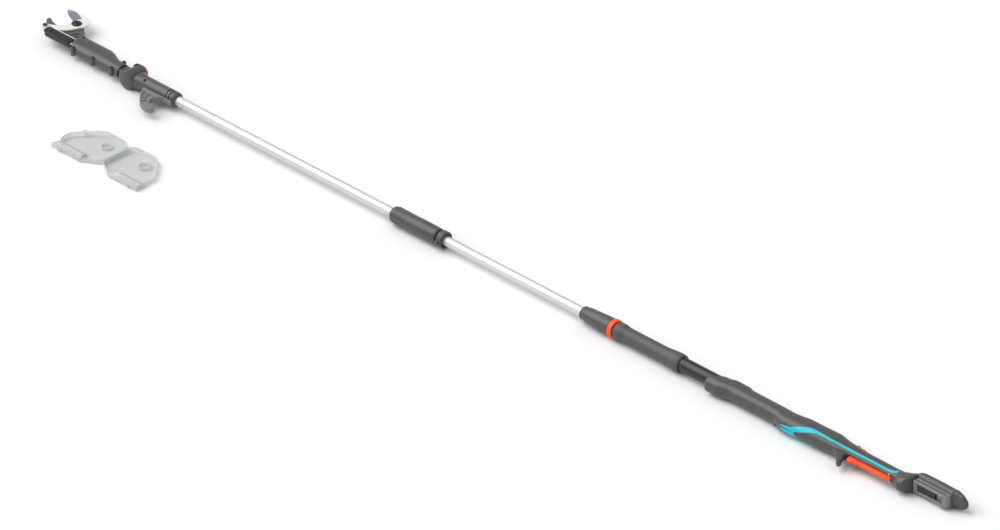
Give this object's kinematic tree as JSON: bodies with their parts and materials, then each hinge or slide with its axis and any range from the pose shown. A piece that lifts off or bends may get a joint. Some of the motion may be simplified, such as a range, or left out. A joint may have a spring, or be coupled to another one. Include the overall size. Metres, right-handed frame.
{
  "type": "telescopic pole pruner",
  "caption": "Cordless telescopic pole pruner with a powered bypass blade, tilting head, branch hook, sliding pole with twist clamp, pistol handle and an open clear blade guard",
  "frame": {"origin": "point on the flat side of the battery foot, under the pole axis, in the plane the tool lies on", "axes": "+X along the pole from the blades to the battery foot, +Y up in the plane of the blades, +Z up from the ground"},
  "size_m": [2.4937, 0.3623, 0.04],
  "materials": {
    "dark_plastic": "fine-textured dark grey housing plastic",
    "light_plastic": "mid grey plastic",
    "grip_rubber": "soft grey grip sleeve",
    "orange_plastic": "orange controls and clamp ring",
    "cyan_plastic": "cyan inlay",
    "black_plastic": "black plastic",
    "black_tube": "black coated tube",
    "pole_aluminium": "drawn aluminium tube",
    "blade_coating": "white non-stick coating with a ground bevel",
    "dark_steel": "darkened steel",
    "steel": "bright steel",
    "circuit_board": "green circuit board",
    "clear_guard": "translucent grey moulding"
  },
  "bodies": {
    "handle": {"handle_shell_left": "dark_plastic", "handle_shell_right": "dark_plastic", "handle_inlay_left": "cyan_plastic", "handle_inlay_right": "cyan_plastic", "handle_screw_1": "dark_steel", "handle_screw_2": "dark_steel", "handle_screw_3": "dark_steel", "handle_screw_4": "dark_steel", "switch": "black_plastic", "control_board": "circuit_board", "battery_rail": "light_plastic", "terminal_block": "black_plastic", "trigger_pin": "steel", "trigger_spring": "steel", "lock_off_spring": "steel", "outer_tube": "black_tube", "grip_sleeve": "grip_rubber", "clamp_collet": "black_plastic"},
    "clamp": {"clamp_sleeve": "dark_plastic", "clamp_ring": "orange_plastic"},
    "pole": {"tilt_bracket": "dark_plastic", "branch_hook": "light_plastic", "socket_screw": "dark_steel", "tilt_axle": "steel", "tilt_spring": "steel", "front_tube": "pole_aluminium", "middle_tube": "pole_aluminium", "coupling_sleeve": "dark_plastic", "coupling_plug": "black_plastic", "guide_bush": "black_plastic", "coiled_lead": "black_plastic"},
    "coupler": {"coupling_ring": "dark_plastic"},
    "release": {"tilt_button": "orange_plastic"},
    "head": {"head_shell_left": "dark_plastic", "head_shell_right": "dark_plastic", "head_screw_1": "dark_steel", "head_screw_2": "dark_steel", "head_screw_3": "dark_steel", "head_screw_4": "dark_steel", "tilt_hub": "dark_plastic", "counter_blade": "dark_steel", "drive_channel": "black_plastic", "guide_strip": "steel", "channel_screw": "dark_steel", "pivot_bolt": "dark_steel", "pivot_nut": "steel", "gearbox": "steel", "motor": "dark_steel"},
    "blade": {"cutting_blade": "blade_coating", "drive_pin": "dark_steel"},
    "link": {"draw_link": "steel"},
    "carriage": {"spindle_nut": "steel"},
    "spindle": {"drive_spindle": "steel"},
    "trigger": {"trigger": "orange_plastic"},
    "lock_off": {"lock_off_button": "orange_plastic"},
    "guard_rear": {"guard_shell_rear": "clear_guard"},
    "guard_front": {"guard_shell_front": "clear_guard"}
  },
  "joints": [
    {"name": "pole_extend", "type": "slide", "parent": "handle", "child": "pole", "axis": [1, 0, 0], "range_m": [0, 0.36]},
    {"name": "clamp_twist", "type": "hinge", "parent": "handle", "child": "clamp", "pos_m": [-0.8, 0, 0.02], "axis": [1, 0, 0], "range_deg": [0, 90]},
    {"name": "coupling_lock", "type": "hinge", "parent": "pole", "child": "coupler", "pos_m": [-1.2325, 0, 0.02], "axis": [1, 0, 0], "range_deg": [0, 45]},
    {"name": "head_tilt", "type": "hinge", "parent": "pole", "child": "head", "pos_m": [-2.0824, 0, 0.02], "axis": [0, 1, 0], "range_deg": [-60, 60]},
    {"name": "tilt_release", "type": "slide", "parent": "pole", "child": "release", "axis": [0, -1, 0], "range_m": [0, 0.0025], "stiffness_N_per_m": 300, "springref_m": -0.001, "deforming": ["tilt_spring"]},
    {"name": "blade_close", "type": "hinge", "parent": "head", "child": "blade", "pos_m": [-2.2977, 0.0589, 0.022], "axis": [0, 0, 1], "range_deg": [0, 50]},
    {"name": "link_pivot", "type": "hinge", "parent": "blade", "child": "link", "pos_m": [-2.336, 0.0108, 0.0248], "axis": [0, 0, 1], "range_deg": [-43, 0]},
    {"name": "carriage_travel", "type": "slide", "parent": "head", "child": "carriage", "axis": [1, 0, 0], "range_m": [0, 0.052]},
    {"name": "spindle_turn", "type": "hinge", "parent": "head", "child": "spindle", "pos_m": [-2.2, 0, 0.0156], "axis": [1, 0, 0], "range_deg": [0, 730]},
    {"name": "trigger_pull", "type": "hinge", "parent": "handle", "child": "trigger", "pos_m": [-0.037, -0.0146, 0.02], "axis": [0, 0, -1], "range_deg": [0, 6], "stiffness_Nm_per_rad": 4, "springref_deg": -2.86, "deforming": ["trigger_spring"]},
    {"name": "lock_off_slide", "type": "slide", "parent": "handle", "child": "lock_off", "axis": [-1, 0, 0], "range_m": [0, 0.006], "stiffness_N_per_m": 200, "springref_m": -0.001, "deforming": ["lock_off_spring"]},
    {"name": "guard_lift", "type": "slide", "parent": "handle", "child": "guard_rear", "axis": [0, 0, 1], "range_m": [0, 0.15]},
    {"name": "guard_fold", "type": "hinge", "parent": "guard_rear", "child": "guard_front", "pos_m": [-1.911, -0.2, 0.011], "axis": [0, 1, 0], "range_deg": [0, 178]}
  ],
  "couplings": [
    {"joint": "link_pivot", "follows": "blade_close", "ratio": -0.81},
    {"joint": "carriage_travel", "follows": "blade_close", "m_per_rad": 0.0576},
    {"joint": "spindle_turn", "follows": "blade_close", "ratio": 14.4}
  ]
}
